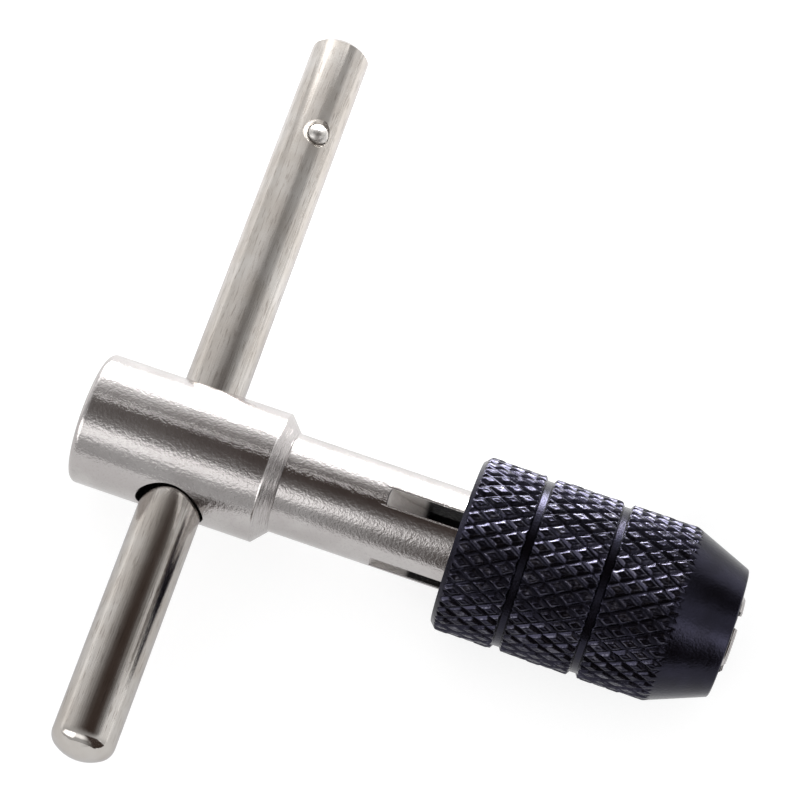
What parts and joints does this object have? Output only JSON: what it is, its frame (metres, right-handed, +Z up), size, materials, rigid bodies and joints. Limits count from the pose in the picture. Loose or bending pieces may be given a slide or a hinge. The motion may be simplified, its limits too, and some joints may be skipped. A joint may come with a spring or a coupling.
{
  "type": "t-handle tap wrench",
  "caption": "Small T-handle tap wrench: turned body, sliding cross bar with stops, knurled clamping nut over a slotted chuck with sliding jaws.",
  "frame": {"origin": "on the tool axis, in the plane of the body's front face at the mouth of the chuck", "axes": "+X along the tool axis out of the chuck, +Y along the cross hole towards the bar's end that stands out further, +Z up as the wrench lies on a bench"},
  "size_m": [0.0853, 0.1068, 0.023],
  "materials": {
    "satin_nickel_steel": "satin nickel plating over turned steel, faint grain",
    "polished_nickel_steel": "polished bar stock, fine lengthwise lines",
    "ball_steel": "polished steel ball",
    "black_oxide_steel": "black oxide, diamond knurl on three bands",
    "hardened_jaw_steel": "dark hardened steel, ground edge",
    "spring_steel": "rolled spring strip"
  },
  "bodies": {
    "body": {"wrench_body": "satin_nickel_steel", "jaw_spring_level": "spring_steel", "jaw_spring_upright": "spring_steel"},
    "bar": {"sliding_bar": "polished_nickel_steel", "stop_ball_upper": "ball_steel", "stop_ball_lower": "ball_steel"},
    "nut": {"clamping_nut": "black_oxide_steel"},
    "jaw_left": {"jaw_left": "hardened_jaw_steel"},
    "jaw_upper": {"jaw_upper": "hardened_jaw_steel"},
    "jaw_right": {"jaw_right": "hardened_jaw_steel"},
    "jaw_lower": {"jaw_lower": "hardened_jaw_steel"}
  },
  "joints": [
    {"name": "bar_slide", "type": "slide", "parent": "body", "child": "bar", "axis": [-0.0297, 0.9996, 0], "range_m": [-0.0394, 0.0182]},
    {"name": "nut_turn", "type": "hinge", "parent": "body", "child": "nut", "pos_m": [0, 0, 0], "axis": [-1, 0, 0], "range_deg": [0, 1648]},
    {"name": "jaw_left_slide", "type": "slide", "parent": "body", "child": "jaw_left", "axis": [0, -1, 0], "range_m": [0, 0.0025], "deforming": ["jaw_spring_level"]},
    {"name": "jaw_upper_slide", "type": "slide", "parent": "body", "child": "jaw_upper", "axis": [0, 0, -1], "range_m": [0, 0.0025], "deforming": ["jaw_spring_upright"]},
    {"name": "jaw_right_slide", "type": "slide", "parent": "body", "child": "jaw_right", "axis": [0, 1, 0], "range_m": [0, 0.0025]},
    {"name": "jaw_lower_slide", "type": "slide", "parent": "body", "child": "jaw_lower", "axis": [0, 0, 1], "range_m": [0, 0.0025]}
  ],
  "couplings": [
    {"joint": "jaw_left_slide", "follows": "nut_turn", "m_per_rad": 0.000086891},
    {"joint": "jaw_upper_slide", "follows": "nut_turn", "m_per_rad": 0.000086891},
    {"joint": "jaw_right_slide", "follows": "nut_turn", "m_per_rad": 0.000086891},
    {"joint": "jaw_lower_slide", "follows": "nut_turn", "m_per_rad": 0.000086891}
  ]
}
